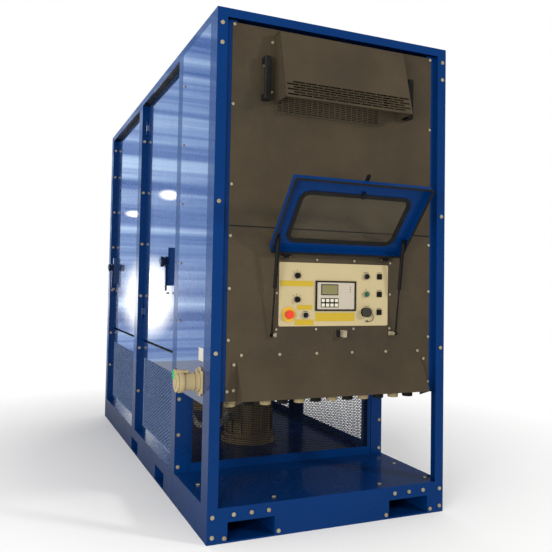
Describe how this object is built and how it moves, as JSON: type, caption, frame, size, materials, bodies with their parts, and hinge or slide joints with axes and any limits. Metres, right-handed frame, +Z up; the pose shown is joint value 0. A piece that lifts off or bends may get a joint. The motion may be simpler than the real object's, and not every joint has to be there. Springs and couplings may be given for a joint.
{
  "type": "generator load bank",
  "caption": "Skid-mounted generator load bank: bolted steel cabinet with front control enclosure under a hinged glazed cover, side doors, screened fan bays and top exhaust grille.",
  "frame": {"origin": "centre of the skid's footprint, at its underside", "axes": "+Z up, -Y out of the control front, -X out of the side with the power receptacle"},
  "size_m": [1.3501, 3.1311, 2.32],
  "materials": {
    "blue_paint": "gloss powder coat",
    "grey_paint": "fine texture powder coat",
    "dark_paint": "satin",
    "galvanised_steel": "galvanised",
    "blue_screen_paint": "satin, expanded metal",
    "zinc_plate": "zinc plated",
    "cream_paint": "satin",
    "display_face": "dark frame, cream face",
    "white_keys": "satin",
    "bezel_metal": "satin ring",
    "black_plastic": "satin",
    "green_plastic": "translucent green",
    "red_plastic": "gloss",
    "grey_plastic": "satin",
    "black_rubber": "matt",
    "clear_window": "clear sheet",
    "black_steel": "gloss",
    "chromed_rod": "polished",
    "tan_plastic": "cast, satin",
    "conduit_grey": "ribbed",
    "motor_paint": "painted casting",
    "cast_alloy": "cast"
  },
  "bodies": {
    "root": {"base_frame": "blue_paint", "bolts": "zinc_plate", "cable_connectors": "tan_plastic", "cable_hood": "grey_paint", "control_plate": "cream_paint", "cover_brackets": "zinc_plate", "cover_hinges": "zinc_plate", "deck_plate": "blue_paint", "display_unit": "display_face", "divider_posts": "blue_paint", "divider_screen": "dark_paint", "door_hinges": "zinc_plate", "element_racks": "galvanised_steel", "enclosure_box": "grey_paint", "exhaust_grille": "galvanised_steel", "fan_motors": "motor_paint", "fan_shrouds": "galvanised_steel", "fork_tunnels": "blue_paint", "front_posts": "blue_paint", "intake_screens": "blue_screen_paint", "keypad": "white_keys", "lower_front_panel": "grey_paint", "mid_posts": "blue_paint", "motor_conduit": "conduit_grey", "outer_panels": "blue_paint", "panel_sockets": "black_plastic", "pull_handles": "black_plastic", "rear_posts": "blue_paint", "receptacle_body": "tan_plastic", "switch_bezels": "bezel_metal", "top_rails": "blue_paint", "upper_front_panel": "grey_paint", "vent_hood": "grey_paint"},
    "cover": {"cover_frame": "blue_paint", "cover_gasket": "black_rubber", "cover_window": "clear_window", "cover_fittings": "zinc_plate"},
    "latch": {"cover_latch": "black_plastic"},
    "left_strut_cylinder": {"left_strut_tube": "black_steel"},
    "left_strut_piston": {"left_strut_rod": "chromed_rod"},
    "right_strut_cylinder": {"right_strut_tube": "black_steel"},
    "right_strut_piston": {"right_strut_rod": "chromed_rod"},
    "upper_selector_knob": {"upper_selector": "black_plastic"},
    "lower_selector_knob": {"lower_selector": "black_plastic"},
    "power_selector_knob": {"power_selector": "green_plastic"},
    "reset_push": {"reset_button": "black_plastic"},
    "lamp_push": {"lamp_button": "black_plastic"},
    "stop_push": {"stop_button": "red_plastic"},
    "test_cap": {"connector_cap": "grey_plastic"},
    "inlet_flap": {"receptacle_flap": "tan_plastic"},
    "front_fan": {"front_impeller": "cast_alloy"},
    "rear_fan": {"rear_impeller": "cast_alloy"},
    "left_front_leaf": {"left_front_door": "blue_paint"},
    "left_rear_leaf": {"left_rear_door": "blue_paint"},
    "right_front_leaf": {"right_front_door": "blue_paint"},
    "right_rear_leaf": {"right_rear_door": "blue_paint"},
    "left_front_lever": {"left_front_handle": "black_plastic"},
    "left_rear_lever": {"left_rear_handle": "black_plastic"},
    "right_front_lever": {"right_front_handle": "black_plastic"},
    "right_rear_lever": {"right_rear_handle": "black_plastic"}
  },
  "joints": [
    {"name": "cover_hinge", "type": "hinge", "parent": "root", "child": "cover", "pos_m": [0, -1.423, 1.2355], "axis": [1, 0, 0], "range_deg": [0, 139]},
    {"name": "cover_latch_turn", "type": "hinge", "parent": "cover", "child": "latch", "pos_m": [0.015, -1.63139, 1.51943], "axis": [0, -0.7547, -0.6561], "range_deg": [0, 90]},
    {"name": "left_strut_pivot", "type": "hinge", "parent": "cover", "child": "left_strut_cylinder", "pos_m": [-0.326, -1.4848, 1.32488], "axis": [1, 0, 0], "range_deg": [-144.4, 0]},
    {"name": "left_strut_slide", "type": "slide", "parent": "left_strut_cylinder", "child": "left_strut_piston", "axis": [0, 0.136, -0.9907], "range_m": [-0.2016, 0]},
    {"name": "right_strut_pivot", "type": "hinge", "parent": "cover", "child": "right_strut_cylinder", "pos_m": [0.326, -1.4848, 1.32488], "axis": [1, 0, 0], "range_deg": [-144.4, 0]},
    {"name": "right_strut_slide", "type": "slide", "parent": "right_strut_cylinder", "child": "right_strut_piston", "axis": [0, 0.136, -0.9907], "range_m": [-0.2016, 0]},
    {"name": "upper_selector_turn", "type": "hinge", "parent": "root", "child": "upper_selector_knob", "pos_m": [-0.199, -1.412, 1.151], "axis": [0, -1, 0], "range_deg": [-45, 45]},
    {"name": "lower_selector_turn", "type": "hinge", "parent": "root", "child": "lower_selector_knob", "pos_m": [-0.199, -1.412, 1.042], "axis": [0, -1, 0], "range_deg": [-45, 45]},
    {"name": "power_selector_turn", "type": "hinge", "parent": "root", "child": "power_selector_knob", "pos_m": [0.166, -1.412, 1.07], "axis": [0, -1, 0], "range_deg": [0, 90]},
    {"name": "reset_press", "type": "slide", "parent": "root", "child": "reset_push", "axis": [0, 1, 0], "range_m": [0, 0.003], "stiffness_N_per_m": 900},
    {"name": "lamp_press", "type": "slide", "parent": "root", "child": "lamp_push", "axis": [0, 1, 0], "range_m": [0, 0.003], "stiffness_N_per_m": 900},
    {"name": "stop_press", "type": "slide", "parent": "root", "child": "stop_push", "axis": [0, 1, 0], "range_m": [0, 0.005]},
    {"name": "test_cap_turn", "type": "hinge", "parent": "root", "child": "test_cap", "pos_m": [0.162, -1.412, 0.984], "axis": [0, -1, 0], "range_deg": [0, 120]},
    {"name": "inlet_flap_swing", "type": "hinge", "parent": "root", "child": "inlet_flap", "pos_m": [-0.712, -1.29, 0.718], "axis": [0, 1, 0], "range_deg": [0, 100], "stiffness_Nm_per_rad": 0.15, "springref_deg": -34.38},
    {"name": "left_front_door_swing", "type": "hinge", "parent": "root", "child": "left_front_leaf", "pos_m": [-0.5805, 0.16, 1.505], "axis": [0, 0, -1], "range_deg": [0, 90]},
    {"name": "left_rear_door_swing", "type": "hinge", "parent": "root", "child": "left_rear_leaf", "pos_m": [-0.5805, 0.28, 1.505], "axis": [0, 0, 1], "range_deg": [0, 90]},
    {"name": "right_front_door_swing", "type": "hinge", "parent": "root", "child": "right_front_leaf", "pos_m": [0.5805, 0.16, 1.505], "axis": [0, 0, 1], "range_deg": [0, 90]},
    {"name": "right_rear_door_swing", "type": "hinge", "parent": "root", "child": "right_rear_leaf", "pos_m": [0.5805, 0.28, 1.505], "axis": [0, 0, -1], "range_deg": [0, 90]},
    {"name": "left_front_handle_turn", "type": "hinge", "parent": "left_front_leaf", "child": "left_front_lever", "pos_m": [-0.6, -0.5695, 1.224], "axis": [-1, 0, 0], "range_deg": [0, 90]},
    {"name": "left_rear_handle_turn", "type": "hinge", "parent": "left_rear_leaf", "child": "left_rear_lever", "pos_m": [-0.6, 1.27, 1.224], "axis": [-1, 0, 0], "range_deg": [0, 90]},
    {"name": "right_front_handle_turn", "type": "hinge", "parent": "right_front_leaf", "child": "right_front_lever", "pos_m": [0.6, -0.5695, 1.224], "axis": [-1, 0, 0], "range_deg": [0, 90]},
    {"name": "right_rear_handle_turn", "type": "hinge", "parent": "right_rear_leaf", "child": "right_rear_lever", "pos_m": [0.6, 1.27, 1.224], "axis": [-1, 0, 0], "range_deg": [0, 90]},
    {"name": "front_fan_spin", "type": "hinge", "parent": "root", "child": "front_fan", "pos_m": [0, -0.3055, 0.64], "axis": [0, 0, 1], "continuous": true},
    {"name": "rear_fan_spin", "type": "hinge", "parent": "root", "child": "rear_fan", "pos_m": [0, 0.81, 0.64], "axis": [0, 0, 1], "continuous": true}
  ],
  "couplings": [
    {"joint": "left_strut_pivot", "follows": "cover_hinge", "ratio": -1.0378},
    {"joint": "left_strut_slide", "follows": "cover_hinge", "m_per_rad": -0.082971},
    {"joint": "right_strut_pivot", "follows": "cover_hinge", "ratio": -1.0378},
    {"joint": "right_strut_slide", "follows": "cover_hinge", "m_per_rad": -0.082971}
  ]
}
